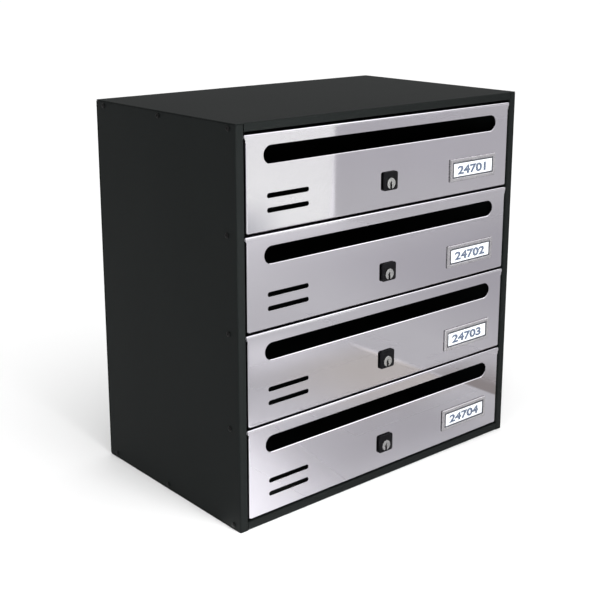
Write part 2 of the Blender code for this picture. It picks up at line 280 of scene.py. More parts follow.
def prism(axis, outline, start, end):
    """An outline in the two other axes, extruded along X, Y or Z."""
    return stacked([placed(axis, outline, along) for along in (start, end)])


def box(low, high):
    return prism("Z", rectangle(low, high), low[2], high[2])


def turned(axis, centre, profile, sides):
    """A round piece. Its profile gives (place along the axis, radius) from end to end."""
    return stacked([placed(axis, circle(centre, radius, sides), along) for along, radius in profile])


def placed(axis, outline, along):
    """An outline's points in space, at one place along X, Y or Z."""
    points = [list(point) for point in outline]
    for point in points:
        point.insert("XYZ".index(axis), along)
    return points


def stacked(outlines):
    """A body with flat ends that passes through outlines of equally many points."""

    def add(mesh):
        rings = [[mesh.verts.new(point) for point in outline] for outline in outlines]
        mesh.faces.new(rings[0])
        mesh.faces.new(rings[-1][::-1])
        for one, other in zip(rings, rings[1:]):
            join_rings(mesh, one, other)

    return add


def join_rings(mesh, one, other):
    for i in range(len(one)):
        mesh.faces.new((one[i - 1], one[i], other[i], other[i - 1]))


# Objects


def mesh_object(name, solids):
    mesh = bmesh.new()
    for add in solids:
        add(mesh)
    bmesh.ops.recalc_face_normals(mesh, faces=mesh.faces)
    data = bpy.data.meshes.new(name)
    mesh.to_mesh(data)
    mesh.free()
    made = bpy.data.objects.new(name, data)
    bpy.context.scene.collection.objects.link(made)
    return made


def apply_modifiers(made):
    graph = bpy.context.evaluated_depsgraph_get()
    data = bpy.data.meshes.new_from_object(made.evaluated_get(graph), depsgraph=graph)
    made.modifiers.clear()
    made.data = data


def boolean(made, operation, solids):
    helper = mesh_object("helper", solids)
    modifier = made.modifiers.new(operation, "BOOLEAN")
    modifier.operation = operation
    modifier.solver = "EXACT"
    modifier.object = helper
    apply_modifiers(made)
    bpy.data.objects.remove(helper)


def merge_flat_faces(made):
    """Removes the doubled points and the needless edges that a Boolean leaves on flat faces."""
    mesh = bmesh.new()
    mesh.from_mesh(made.data)
    bmesh.ops.remove_doubles(mesh, verts=mesh.verts, dist=2e-6)
    bmesh.ops.dissolve_limit(mesh, angle_limit=math.radians(0.2), verts=mesh.verts, edges=mesh.edges)
    loose = [edge for edge in mesh.edges if not edge.link_faces]
    bmesh.ops.delete(mesh, geom=loose, context="EDGES")
    mesh.to_mesh(made.data)
    mesh.free()


def soften(made, edge):
    """Rounds the sharp edges and keeps the flat faces flat in their shading."""
    made.data.shade_smooth()
    bevel = made.modifiers.new("edges", "BEVEL")
    bevel.width = edge
    bevel.segments = 2
    bevel.limit_method = "ANGLE"
    bevel.angle_limit = math.radians(32)
    bevel.use_clamp_overlap = False
    normals = made.modifiers.new("normals", "WEIGHTED_NORMAL")
    normals.weight = 100
    apply_modifiers(made)


def piece(name, look, place, solids, joined=(), cut=(), edge=EDGE):
    """One visible piece, built round the origin and moved to its place."""
    made = mesh_object(name, solids)
    for add in joined:
        boolean(made, "UNION", [add])
    if cut:
        boolean(made, "DIFFERENCE", cut)
    if joined or cut:
        merge_flat_faces(made)
    soften(made, edge)
    made.data.transform(Matrix.Translation(place))
    made.data.materials.clear()
    made.data.materials.append(looks[look])
    return made


def stand_for(made, body, slot, *nodes):
    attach(made, body)
    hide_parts(*nodes)


def middle(node):
    low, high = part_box(node)
    return (low + high) / 2


# Materials


class Graph:
    """A material's nodes, with short ways to add the ones that the looks share."""

    def __init__(self, name, colour, roughness, metallic=0.0, specular=0.5):
        self.material = bpy.data.materials.new(name)
        self.material.use_nodes = True
        self.nodes = self.material.node_tree.nodes
        self.links = self.material.node_tree.links
        self.shader = self.nodes["Principled BSDF"]
        self.shader.inputs["Base Color"].default_value = (*colour, 1.0)
        self.shader.inputs["Roughness"].default_value = roughness
        self.shader.inputs["Metallic"].default_value = metallic
        self.shader.inputs["Specular IOR Level"].default_value = specular
        self.place = self.nodes.new("ShaderNodeTexCoord").outputs["Object"]

    def noise(self, scale, detail=2.0, stretch=(1, 1, 1)):
        mapping = self.nodes.new("ShaderNodeMapping")
        mapping.inputs["Scale"].default_value = stretch
        self.links.new(self.place, mapping.inputs["Vector"])
        noise = self.nodes.new("ShaderNodeTexNoise")
        noise.inputs["Scale"].default_value = scale
        noise.inputs["Detail"].default_value = detail
        self.links.new(mapping.outputs["Vector"], noise.inputs["Vector"])
        return noise.outputs["Fac"]

    def between(self, factor, low, high, start=0.3, end=0.7):
        """The factor's range from start to end, spread from low to high."""
        spread = self.nodes.new("ShaderNodeMapRange")
        for name, value in (("From Min", start), ("From Max", end), ("To Min", low), ("To Max", high)):
            spread.inputs[name].default_value = value
        self.links.new(factor, spread.inputs["Value"])
        return spread.outputs["Result"]

    def colours(self, factor, low, high, start=0.3, end=0.7):
        ramp = self.nodes.new("ShaderNodeValToRGB")
        ramp.color_ramp.elements[0].position = start
        ramp.color_ramp.elements[1].position = end
        ramp.color_ramp.elements[0].color = (*low, 1.0)
        ramp.color_ramp.elements[1].color = (*high, 1.0)
        self.links.new(factor, ramp.inputs["Fac"])
        self.links.new(ramp.outputs["Color"], self.shader.inputs["Base Color"])

    def roughness(self, factor, low, high):
        self.links.new(self.between(factor, low, high), self.shader.inputs["Roughness"])

    def bumps(self, *layers):
        """Each layer is (height, depth in metres)."""
        normal = None
        for height, depth in layers:
            bump = self.nodes.new("ShaderNodeBump")
            bump.inputs["Distance"].default_value = depth
            self.links.new(height, bump.inputs["Height"])
            if normal:
                self.links.new(normal, bump.inputs["Normal"])
            normal = bump.outputs["Normal"]
        self.links.new(normal, self.shader.inputs["Normal"])


def powder_coat():
    """Fine-textured anthracite paint."""
    look = Graph("powder_coat", (0.0088, 0.0103, 0.0101), 0.50, specular=0.035)
    grain = look.noise(1400, 3)
    look.colours(look.noise(7, 4), (0.0082, 0.0097, 0.0095), (0.0094, 0.0109, 0.0107))
    look.roughness(grain, 0.44, 0.54)
    look.bumps((grain, 0.00004), (look.noise(260, 1), 0.00003))
    return look.material


def door_steel():
    """Bright-rolled stainless, with faint polishing lines and the odd hazy patch."""
    look = Graph("door_steel", (0.38, 0.369, 0.398), 0.04, metallic=1.0)
    lines = look.noise(90, 3, stretch=(1, 1, 30))
    look.colours(look.noise(9, 3), (0.373, 0.362, 0.390), (0.387, 0.376, 0.406))
    look.roughness(look.noise(14, 5), 0.025, 0.06)
    look.bumps((lines, 0.0000012))
    return look.material


def plain_steel():
    """Zinc-plated steel, slightly mottled."""
    look = Graph("plain_steel", (0.50, 0.51, 0.53), 0.38, metallic=1.0)
    mottle = look.noise(320, 4)
    look.colours(mottle, (0.42, 0.43, 0.45), (0.56, 0.57, 0.58))
    look.roughness(mottle, 0.30, 0.46)
    look.bumps((look.noise(1500, 2), 0.00002))
    return look.material


def black_plastic():
    look = Graph("black_plastic", (0.004, 0.004, 0.005), 0.42, specular=0.05)
    grain = look.noise(2200, 2)
    look.colours(look.noise(90, 3), (0.0034, 0.0034, 0.0042), (0.0050, 0.0050, 0.0060))
    look.roughness(grain, 0.36, 0.50)
    look.bumps((grain, 0.00002))
    return look.material


def chrome():
    """Nickel-plated brass with the rings that turning leaves, centred on the piece."""
    look = Graph("chrome", (0.30, 0.30, 0.30), 0.24, metallic=1.0)
    centre = look.nodes.new("ShaderNodeMapping")
    centre.inputs["Location"].default_value = (-0.5, -0.5, -0.5)
    coordinates = look.nodes.new("ShaderNodeTexCoord").outputs["Generated"]
    look.links.new(coordinates, centre.inputs["Vector"])
    rings = look.nodes.new("ShaderNodeTexWave")
    rings.wave_type = "RINGS"
    rings.rings_direction = "Y"
    rings.inputs["Scale"].default_value = 16
    rings.inputs["Distortion"].default_value = 0.4
    look.links.new(centre.outputs["Vector"], rings.inputs["Vector"])
    look.colours(look.noise(400, 3), (0.27, 0.27, 0.27), (0.33, 0.33, 0.33))
    look.roughness(look.noise(700, 3), 0.20, 0.32)
    look.bumps((rings.outputs["Fac"], 0.00001))
    return look.material


def frame_metal():
    """Satin die-cast frame."""
    look = Graph("frame_metal", (0.37, 0.36, 0.375), 0.25, metallic=1.0)
    look.colours(look.noise(120, 3), (0.345, 0.335, 0.35), (0.395, 0.385, 0.40))
    look.roughness(look.noise(500, 3), 0.20, 0.32)
    look.bumps((look.noise(1800, 2), 0.000004))
    return look.material


def card():
    """Bright coated card with a faint fibre."""
    look = Graph("card", (0.90, 0.93, 0.97), 0.55, specular=0.4)
    fibre = look.noise(900, 4, stretch=(1, 1, 3))
    look.colours(fibre, (0.87, 0.91, 0.96), (0.93, 0.95, 0.98))
    look.roughness(fibre, 0.50, 0.62)
    look.bumps((fibre, 0.00001))
    return look.material


def ink():
    look = Graph("ink", (0.004, 0.033, 0.100), 0.45, specular=0.3)
    specks = look.noise(1500, 3)
    look.colours(specks, (0.003, 0.028, 0.088), (0.005, 0.039, 0.112))
    look.roughness(specks, 0.38, 0.52)
    return look.material


def clear_plastic():
    """The window over the card: nearly invisible apart from its gloss."""
    look = Graph("clear_plastic", (0.95, 0.97, 1.0), 0.06)
    look.shader.inputs["Alpha"].default_value = 0.06
    look.roughness(look.noise(60, 4), 0.04, 0.12)
    return look.material


# Dark look for the band round the window: painted shade where the window's recess falls in shadow
def window_shade_band():
    look = Graph("window_shade_band", (0.045, 0.046, 0.055), 0.6, specular=0.3)
    grain = look.noise(1800, 2)
    look.colours(grain, (0.038, 0.039, 0.048), (0.055, 0.056, 0.066))
    look.roughness(grain, 0.52, 0.68)
    look.bumps((grain, 0.00002))
    return look.material


def screw_black():
    """Blackened steel, rubbed a little brighter in places."""
    look = Graph("screw_black", (0.004, 0.004, 0.004), 0.45, specular=0.12)
    rub = look.noise(700, 4)
    look.colours(rub, (0.003, 0.003, 0.003), (0.009, 0.009, 0.009), start=0.45, end=0.8)
    look.roughness(rub, 0.38, 0.52)
    look.bumps((look.noise(2400, 2), 0.00002))
    return look.material


def floor_white():
    look = Graph("floor_white", (0.95, 0.95, 0.95), 0.8, specular=0.1)
    look.colours(look.noise(3, 2), (0.945, 0.945, 0.945), (0.955, 0.955, 0.955))
    return look.material


looks = {
    make.__name__: make()
    for make in (
        powder_coat, door_steel, plain_steel, black_plastic, chrome, frame_metal,
        card, ink, clear_plastic, window_shade_band, screw_black, floor_white,
    )
}


# Casing, in the frame of the whole object

CASING_LOW, CASING_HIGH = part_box("bottom_panel")[0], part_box("top_panel")[1]
HALF = CASING_HIGH.x
FRONT, BACK = CASING_LOW.y, CASING_HIGH.y
HEIGHT = CASING_HIGH.z
RAIL_HALF = HALF - FLANGE - CLEAR
SHELF_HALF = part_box("shelf_1")[1].x
SIDE_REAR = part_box("side_panel_left")[1].y
STRIKE_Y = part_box("shelf_1")[0].y
ORIGIN = (0, 0, 0)


def screw_holes(nodes, reach):
    """Round holes through the casing's side, one for each of these screws."""
    holes = []
    for node in nodes:
        place = middle(node)
        side = math.copysign(1, place.x)
        low, high = sorted((side * (HALF - reach), side * (HALF + PAST)))
        holes.append(prism("X", circle((place.y, place.z), SCREW_RADIUS + CLEAR, sides=16), low, high))
    return holes


def screws_near(height):
    """The screws on both sides within a few millimetres of a height."""
    names = [f"casing_screw_{side}_{n}" for side in ("left", "right") for n in range(1, SCREWS_PER_SIDE + 1)]
    return [name for name in names if abs(middle(name).z - height) < TURN]


def side_panel(name, side):
    low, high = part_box(name)
    path = [
        (-HALF + FLANGE, FRONT + JAMB),
        (-HALF + FLANGE, FRONT),
        (-HALF, FRONT),
        (-HALF, SIDE_REAR),
        (-HALF + REAR_FLANGE, SIDE_REAR),
    ]
    solid = prism("Z", mirrored(folded(path), side), low.z, high.z)
    word = name.split("_")[-1]
    holes = screw_holes([f"casing_screw_{word}_{n}" for n in range(1, SCREWS_PER_SIDE + 1)], 2 * SHEET)
    start, end = sorted((side * (HALF - FLANGE - PAST), side * (HALF - 2 * SHEET)))
    for n in range(1, DOORS + 1):
        place = middle(f"hinge_rod_{n}")
        holes.append(prism("X", circle((place.y, place.z), ROD_RADIUS + CLEAR, sides=20), start, end))
    made = piece(f"{name}_folded", "powder_coat", ORIGIN, [solid], cut=holes)
    stand_for(made, "cabinet", "powder_coat", name)


def cover_outline():
    """The top or bottom sheet in plan, cut back along the front where the rail is folded from it."""
    outline = rounded((0, 0), (2 * HALF, BACK - FRONT), PLAN_CORNER, PLAN_CORNER_STEPS)
    reach = RAIL_HALF + CLEAR
    notch = [
        (-reach, FRONT),
        (-reach, FRONT + OVERLAP / 2),
        (reach, FRONT + OVERLAP / 2),
        (reach, FRONT),
    ]
    front = 3 * (PLAN_CORNER_STEPS + 1)  # three corners come before the front edge
    return outline[:front] + notch + outline[front:]


def turned_flange(side, low, high):
    left, right = sorted((side * SHELF_HALF, side * (SHELF_HALF - SHEET)))
    return box((left, FRONT + 2 * SHEET, low), (right, SIDE_REAR - 2 * SHEET, high))


def top_panel():
    cover = prism("Z", cover_outline(), HEIGHT - SHEET, HEIGHT)
    path = [
        (FRONT + JAMB, HEIGHT - RAIL),
        (FRONT, HEIGHT - RAIL),
        (FRONT, HEIGHT),
        (FRONT + OVERLAP, HEIGHT),
    ]
    rail = prism("X", folded(path), -RAIL_HALF, RAIL_HALF)
    flanges = [turned_flange(side, HEIGHT - TURN, HEIGHT - SHEET / 2) for side in (-1, 1)]
    holes = screw_holes(screws_near(HEIGHT), 4 * SHEET)
    made = piece("top_panel_folded", "powder_coat", ORIGIN, [cover], joined=[rail, *flanges], cut=holes)
    stand_for(made, "cabinet", "powder_coat", "top_panel")


def bottom_panel():
    cover = prism("Z", cover_outline(), 0, SHEET)
    path = [
        (FRONT + OVERLAP, 0),
        (FRONT, 0),
        (FRONT, RAIL),
        (STRIKE_Y, RAIL),
        (STRIKE_Y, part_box("bottom_panel")[1].z),
    ]
    rail = prism("X", folded(path), -RAIL_HALF, RAIL_HALF)
    flanges = [turned_flange(side, SHEET / 2, TURN) for side in (-1, 1)]
    holes = screw_holes(screws_near(0), 4 * SHEET)
    made = piece("bottom_panel_folded", "powder_coat", ORIGIN, [cover], joined=[rail, *flanges], cut=holes)
    stand_for(made, "cabinet", "powder_coat", "bottom_panel")


def back_panel():
    low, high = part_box("back_panel")
    cuts = [
        prism("Y", circle((x, z), WALL_HOLE_RADIUS, sides=32), low.y - PAST, high.y + PAST)
        for x in (-WALL_HOLE_X, WALL_HOLE_X)
        for z in (WALL_HOLE_Z, HEIGHT - WALL_HOLE_Z)
    ]
    dimple = [
        (high.y - WELD_DEPTH, WELD_RADIUS * (1 - WELD_SLOPE)),
        (high.y + WELD_DEPTH, WELD_RADIUS * (1 + WELD_SLOPE)),
    ]
    for side in (-1, 1):
        for n in range(WELDS):
            height = HEIGHT * (n + 0.5) / WELDS
            cuts.append(turned("Y", (side * (HALF - WELD_INSET), height), dimple, sides=20))
    made = piece("back_panel_sheet", "powder_coat", ORIGIN, [box(low, high)], cut=cuts)
    stand_for(made, "cabinet", "powder_coat", "back_panel")


def shelf(number):
    """A shelf with folded flanges at its ends and a strike lip folded up along its front."""
    name = f"shelf_{number}"
    low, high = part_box(name)
    top = high.z - LIP_RISE
    path = [(-SHELF_HALF, low.z), (-SHELF_HALF, top), (SHELF_HALF, top), (SHELF_HALF, low.z)]
    tray = prism("Y", folded(path), low.y + OVERLAP / 2, high.y)
    lip_path = [(low.y + OVERLAP, top - SHEET), (low.y, top - SHEET), (low.y, high.z)]
    lip = prism("X", folded(lip_path), -SHELF_HALF + BEND, SHELF_HALF - BEND)
    holes = screw_holes(screws_near(low.z + TURN / 2), 4 * SHEET)
    made = piece(f"{name}_folded", "powder_coat", ORIGIN, [tray], joined=[lip], cut=holes)
    stand_for(made, "cabinet", "powder_coat", name)


def casing_screw(name):
    """A domed black screw with a cross recess."""
    low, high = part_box(name)
    side = math.copysign(1, low.x)
    seat = HALF + CLEAR
    dome = []
    for degrees in DOME_ANGLES:
        angle = math.radians(degrees)
        dome.append((seat + HEAD_HEIGHT * math.sin(angle), HEAD_RADIUS * math.cos(angle) ** DOME_POWER))
    profile = [
        (seat - SCREW_LENGTH, SCREW_TIP_RADIUS),
        (seat - SCREW_LENGTH + SCREW_TIP_LENGTH, SCREW_RADIUS),
        (seat, SCREW_RADIUS),
        *dome,
    ]
    centre = ((low.y + high.y) / 2, (low.z + high.z) / 2)
    solid = turned("X", centre, [(side * along, radius) for along, radius in profile], sides=28)
    start, end = sorted((side * (seat + HEAD_HEIGHT - RECESS_DEPTH), side * (seat + PAST)))
    cross = [prism("X", centred(centre, size), start, end) for size in (RECESS, RECESS[::-1])]
    made = piece(f"{name}_cross", "screw_black", ORIGIN, [solid])
    for slot in cross:
        boolean(made, "DIFFERENCE", [slot])
    stand_for(made, "cabinet", "screw_black", name)


def hinge_rod(number):
    name = f"hinge_rod_{number}"
    low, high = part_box(name)
    tip = ROD_RADIUS / 3
    profile = [
        (low.x, ROD_RADIUS - tip),
        (low.x + tip, ROD_RADIUS),
        (high.x - tip, ROD_RADIUS),
        (high.x, ROD_RADIUS - tip),
    ]
    centre = ((low.y + high.y) / 2, (low.z + high.z) / 2)
    solid = turned("X", centre, profile, sides=32)
    made = piece(f"{name}_turned", "plain_steel", ORIGIN, [solid], edge=EDGE / 4)
    stand_for(made, "cabinet", "plain_steel", name)


# Doors, in the frame of their hinge axis

DOOR_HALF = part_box("door_1")[1].x - ROLL_EAR
DOOR_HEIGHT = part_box("door_1")[1].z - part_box("door_1")[0].z
FACE = -ROLL_RADIUS
FOOT = ROLL_RADIUS - DOOR_HEIGHT


def ear(side):
    """One end of the rolled edge, which stands out past the side of the door."""
    roll = arc((0, 0), ROLL_RADIUS, 180, ROLL_END, ROLL_STEPS)
    path = [(FACE, -2 * ROLL_RADIUS), (FACE, -ROLL_RADIUS), *roll]
    start, end = sorted((side * (DOOR_HALF - OVERLAP), side * (DOOR_HALF + ROLL_EAR)))
    return prism("X", path + offset_right(path, SHEET)[::-1], start, end)


def ear_cutters(side):
    """What rounds the outer corners of an ear: the top one right through, the lower ones at the front."""
    full = DOOR_HALF + ROLL_EAR
    far = full + PAST
    top = arc((full - EAR_CORNER, ROLL_RADIUS - EAR_CORNER), EAR_CORNER, 90, 0, steps=4)
    top += [(far, ROLL_RADIUS - EAR_CORNER), (far, ROLL_RADIUS + PAST)]
    top += [(full - EAR_CORNER, ROLL_RADIUS + PAST)]
    low = arc((full, -ROLL_RADIUS), ROLL_EAR, 90, 180, steps=4)
    under = -2 * ROLL_RADIUS - PAST
    low += [(DOOR_HALF, under), (far, under), (far, ROLL_EAR - ROLL_RADIUS)]
    return [
        prism("Y", mirrored(top, -side), FACE - PAST, ROLL_RADIUS + PAST),
        prism("Y", mirrored(low, -side), FACE - PAST, 0),
    ]


def door_side(side):
    path = [
        (-DOOR_HALF + OVERLAP, FACE),
        (-DOOR_HALF, FACE),
        (-DOOR_HALF, FACE + DOOR_FLANGE),
    ]
    return prism("Z", mirrored(folded(path), side), FOOT + BEND, -2 * ROLL_RADIUS)


def slot_cutter(end):
    """The slot, with its lower edge sloped at the front so that letters slide in."""
    sections = ((FACE - SLOT_LIP, 2 * SLOT_LIP), (FACE + SLOT_LIP, 0), (end, 0))
    return stacked([
        placed("Y", stadium((0, ROLL_RADIUS - SLOT_DROP - drop), SLOT), along)
        for along, drop in sections
    ])


def door_holes(number):
    start, end = FACE - PAST, FACE + SHEET + PAST / 2
    vents = [prism("Y", stadium((VENT_X, ROLL_RADIUS - drop), VENT), start, end) for drop in VENT_DROPS]
    axis = middle(f"hinge_rod_{number}")
    lock = middle(f"lock_plug_{number}") - axis
    size = (BODY[0] + 2 * CLEAR, BODY[1] + 2 * CLEAR)
    lock_hole = prism("Y", centred((lock.x, lock.z + BODY_RISE), size), start, end)
    frame_middle = middle(f"name_frame_{number}") - axis
    pegs = [
        prism("Y", circle((frame_middle.x + x, frame_middle.z), PEG_RADIUS + CLEAR, sides=16), start, end)
        for x in (-PEG_SPACING / 2, PEG_SPACING / 2)
    ]
    return [slot_cutter(end), *vents, lock_hole, *pegs]


def door(number):
    """A tray folded from one sheet, with its top edge rolled round the hinge rod."""
    roll = arc((0, 0), ROLL_RADIUS, 180, ROLL_END, ROLL_STEPS)
    path = [(FACE + DOOR_FLANGE, FOOT), (FACE, FOOT), *roll]
    reach = DOOR_HALF - BEND
    tray = prism("X", folded(path), -reach, reach)
    joined = [ear(-1), ear(1), door_side(-1), door_side(1)]
    cut = door_holes(number) + ear_cutters(-1) + ear_cutters(1)
    place = middle(f"hinge_rod_{number}")
    made = piece(f"door_{number}_folded", "door_steel", place, [tray], joined=joined, cut=cut, edge=EDGE / 2)
    stand_for(made, f"door_{number}", "door_steel", f"door_{number}")


# Name frames, in the frame of their middle at the door's front face


def door_face_point(node):
    """A node's middle, brought to the front face of the doors."""
    place = middle(node)
    return Vector((place.x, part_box("door_1")[0].y, place.z))


def ring_of(sections, corner):
    """A closed frame in the XZ plane. Each section is a loop of its profile: (width, height, y)."""

    def add(mesh):
        loops = []
        for width, height, along in sections:
            outline = rounded((0, 0), (width, height), corner, steps=4)
            loops.append([mesh.verts.new((x, along, z)) for x, z in outline])
        for i in range(len(loops)):
            join_rings(mesh, loops[i - 1], loops[i])

    return add


def name_frame(number):
    """The frame, with a window in front, a pocket for the card behind, and two pegs through the door."""
    name = f"name_frame_{number}"
    front = -CLEAR - FRAME_DEPTH
    step = -CLEAR - POCKET_DEPTH
    sections = [
        (*FRAME, -CLEAR),
        (*FRAME, front + FRAME_CHAMFER[1]),
        (FRAME[0] - 2 * FRAME_CHAMFER[0], FRAME[1] - 2 * FRAME_CHAMFER[0], front),
        (WINDOW[0] + 2 * WINDOW_CHAMFER, WINDOW[1] + 2 * WINDOW_CHAMFER, front),
        (*WINDOW, front + WINDOW_CHAMFER),
        (*WINDOW, step),
        (*POCKET, step),
        (*POCKET, -CLEAR),
    ]
    pegs = [
        prism("Y", circle((x, 0), PEG_RADIUS, sides=20), step / 2, PEG_END)
        for x in (-PEG_SPACING / 2, PEG_SPACING / 2)
    ]
    place = door_face_point(name)
    ring = ring_of(sections, FRAME_CORNER)
    made = piece(f"{name}_cast", "frame_metal", place, [ring], joined=pegs, edge=EDGE / 2)
    stand_for(made, f"door_{number}", "frame_metal", name)


def window_pane(number):
    """The clear window over the card, and a dark band round its edge, which is painted shade for the
    window's recess.
    """
    place = door_face_point(f"name_frame_{number}")
    inside = (WINDOW[0] - 2 * CLEAR, WINDOW[1] - 2 * CLEAR)
    opening = (WINDOW[0] - 2 * WINDOW_SHADE_WIDTH, WINDOW[1] - 2 * WINDOW_SHADE_WIDTH)
    back = -CLEAR - POCKET_DEPTH
    front = back - PANE_THICKNESS
    pane = prism("Y", rounded((0, 0), opening, FRAME_CORNER / 2, steps=3), front, back)
    clear = piece(f"name_window_{number}", "clear_plastic", place, [pane], edge=EDGE / 3)
    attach(clear, f"door_{number}")
    ring = prism("Y", rounded((0, 0), inside, FRAME_CORNER / 2, steps=3), front - EDGE, back)
    hole = prism("Y", rounded((0, 0), opening, FRAME_CORNER / 2, steps=3), front - PAST, PAST)
    window_shade = piece(f"name_window_shade_{number}", "window_shade_band", place, [ring], cut=[hole], edge=EDGE / 2)
    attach(window_shade, f"door_{number}")


def name_card(number):
    name = f"name_card_{number}"
    low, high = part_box(name)
    outline = rounded((0, 0), (high.x - low.x, high.z - low.z), FRAME_CORNER, steps=4)
    thickness = high.y - low.y
    board = prism("Y", outline, -thickness / 2, thickness / 2)
    made = piece(f"{name}_board", "card", middle(name), [board], edge=EDGE / 3)
    stand_for(made, f"door_{number}", "card", name)
    print_number(number, Vector((middle(name).x, low.y, middle(name).z)))


def print_number(number, place):
    """A plain box number in bold blue figures."""
    curve = bpy.data.curves.new("number", "FONT")
    curve.body = str(FIRST_NUMBER + number - 1)
    curve.size = NUMBER_SIZE
    curve.offset = NUMBER_WEIGHT
    curve.extrude = INK / 2
    curve.align_x = "CENTER"
    curve.align_y = "CENTER"
    text = bpy.data.objects.new("number", curve)
    bpy.context.scene.collection.objects.link(text)
    graph = bpy.context.evaluated_depsgraph_get()
    data = bpy.data.meshes.new_from_object(text.evaluated_get(graph))
    bpy.data.objects.remove(text)
    stretch = Matrix.Diagonal((NUMBER_STRETCH, 1, 1, 1))
    upright = Matrix.Rotation(math.radians(90), 4, "X")
    data.transform(Matrix.Translation(place - Vector((0, INK / 2, NUMBER_DROP))) @ upright @ stretch)
    data.materials.clear()
    data.materials.append(looks["ink"])
    printed = bpy.data.objects.new(f"card_number_{number}", data)
    bpy.context.scene.collection.objects.link(printed)
    merge_flat_faces(printed)
    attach(printed, f"door_{number}")


# Locks, in the frame of the plug's axis at the door's front face


def lock_housing(number):
    """A square black head with soft edges, and the body behind it that passes through the door."""
    name = f"lock_housing_{number}"
    front = -CLEAR - HEAD_DEPTH
    head = prism("Y", rounded((0, PLUG_DROP), HEAD, HEAD_CORNER, steps=8), front, -CLEAR)
    body = prism("Y", centred((0, BODY_RISE), BODY), -CLEAR - SHEET, BODY_END)
    seat = front + FACE_DISC_DEPTH - FACE_DISC_PROUD + CLEAR
    profile = [
        (front - PAST, FACE_DISC_RADIUS + CLEAR),
        (seat, FACE_DISC_RADIUS + CLEAR),
        (seat, PLUG_RADIUS + CLEAR),
        (BODY_END + PAST, PLUG_RADIUS + CLEAR),
    ]
    made = piece(f"{name}_moulded", "black_plastic", ORIGIN, [head], edge=HEAD_EDGE)
    boolean(made, "UNION", [body])
    boolean(made, "DIFFERENCE", [turned("Y", (0, 0), profile, sides=40)])
    made.data.transform(Matrix.Translation(door_face_point(f"lock_plug_{number}")))
    stand_for(made, f"door_{number}", "black_plastic", name)


def lock_clip(number):
    """A fork of sheet steel pushed down over the body behind the door."""
    name = f"lock_clip_{number}"
    left, top = -BODY[0] / 2 - CLEAR, BODY_RISE + BODY[1] / 2 + CLEAR
    bottom = BODY_RISE - BODY[1] / 2
    lead = CLIP_SIDE / 3
    half = [
        (left - CLIP_SIDE, bottom + lead),
        (left - CLIP_SIDE + lead, bottom),
        (left - lead, bottom),
        (left, bottom + lead),
        (left, top),
    ]
    crown = [(left - CLIP_SIDE, top + CLIP_TOP - lead), (left - CLIP_SIDE + lead, top + CLIP_TOP)]
    right = [(-x, z) for x, z in half[::-1]]
    outline = half + right + [(-x, z) for x, z in crown] + crown[::-1]
    start = SHEET + CLEAR
    solid = prism("Y", outline, start, start + SHEET)
    made = piece(f"{name}_stamped", "plain_steel", door_face_point(f"lock_plug_{number}"), [solid])
    stand_for(made, f"door_{number}", "plain_steel", name)


def lock_plug(number):
    name = f"lock_plug_{number}"
    front = -CLEAR - HEAD_DEPTH - FACE_DISC_PROUD
    shoulder = front + FACE_DISC_DEPTH
    barrel_end = CAM_START - CLEAR
    profile = [
        (front, FACE_DISC_RADIUS - 2 * CLEAR),
        (front + CLEAR / 2, FACE_DISC_RADIUS - CLEAR / 2),
        (front + CLEAR, FACE_DISC_RADIUS),
        (shoulder, FACE_DISC_RADIUS),
        (shoulder, PLUG_RADIUS),
        (barrel_end, PLUG_RADIUS),
    ]
    base = turned("Y", (0, 0), profile, sides=48)
    tail = prism("Y", centred((0, 0), (TAIL, TAIL)), barrel_end - SHEET, TAIL_END)
    keyway = prism("Y", KEYWAY, front - PAST, front + KEYWAY_END)
    place = door_face_point(name)
    made = piece(f"{name}_turned", "chrome", place, [base], joined=[tail], cut=[keyway], edge=EDGE / 2)
    stand_for(made, f"lock_{number}", "chrome", name)
    # Wafers fill the keyway behind the plug's face. Real locks have wafers there; their blackened look here
    # is painted shade, so that the deep keyway reads dark.
    inside = [(x * WAFER_WIDTH, max(z, SHEET - PLUG_RADIUS)) for x, z in KEYWAY]
    wafers = prism("Y", inside, front + WAFER_DROP, front + KEYWAY_END)
    dark = piece(f"lock_wafers_{number}", "screw_black", place, [wafers], edge=EDGE / 4)
    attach(dark, f"lock_{number}")


def lock_cam(number):
    """The flat tongue on the plug's tail, and the screw that holds it there."""
    name = f"lock_cam_{number}"
    tip = arc((CAM_REACH - CAM_HALF_WIDTH, 0), CAM_HALF_WIDTH, -90, 90, steps=20)
    outline = tip + arc((0, 0), CAM_HALF_WIDTH, 90, 270, steps=20)
    side = TAIL + 2 * CLEAR
    hole = prism("Y", centred((0, 0), (side, side)), CAM_START - PAST, TAIL_END + PAST)
    base = prism("Y", outline, CAM_START, CAM_START + CAM_THICKNESS)
    place = door_face_point(f"lock_plug_{number}")
    made = piece(f"{name}_stamped", "plain_steel", place, [base], cut=[hole])
    stand_for(made, f"lock_{number}", "plain_steel", name)
    washer_end = TAIL_END + SHEET
    head = [
        (TAIL_END + CLEAR / 2, CAM_WASHER_RADIUS),
        (washer_end, CAM_WASHER_RADIUS),
        (washer_end, CAM_SCREW_RADIUS),
        *((washer_end + rise * SHEET, CAM_SCREW_RADIUS * share) for rise, share in CAM_SCREW_CROWN),
    ]
    slot = prism("Y", centred((0, 0), RECESS), washer_end + SHEET / 2, washer_end + PAST)
    solid = turned("Y", (0, 0), head, sides=32)
    screw = piece(f"cam_screw_{number}", "plain_steel", place, [solid], cut=[slot], edge=EDGE / 2)
    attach(screw, f"lock_{number}")


# Stage


def stage_sheet(name, size, place, look):
    """A flat rectangle that isn't part of the object."""
    mesh = bmesh.new()
    mesh.faces.new([mesh.verts.new((x, y, 0)) for x, y in centred((0, 0), size)])
    data = bpy.data.meshes.new(name)
    mesh.to_mesh(data)
    mesh.free()
    data.materials.append(look)
    made = bpy.data.objects.new(name, data)
    made.location = place
    bpy.context.scene.collection.objects.link(made)
    return made


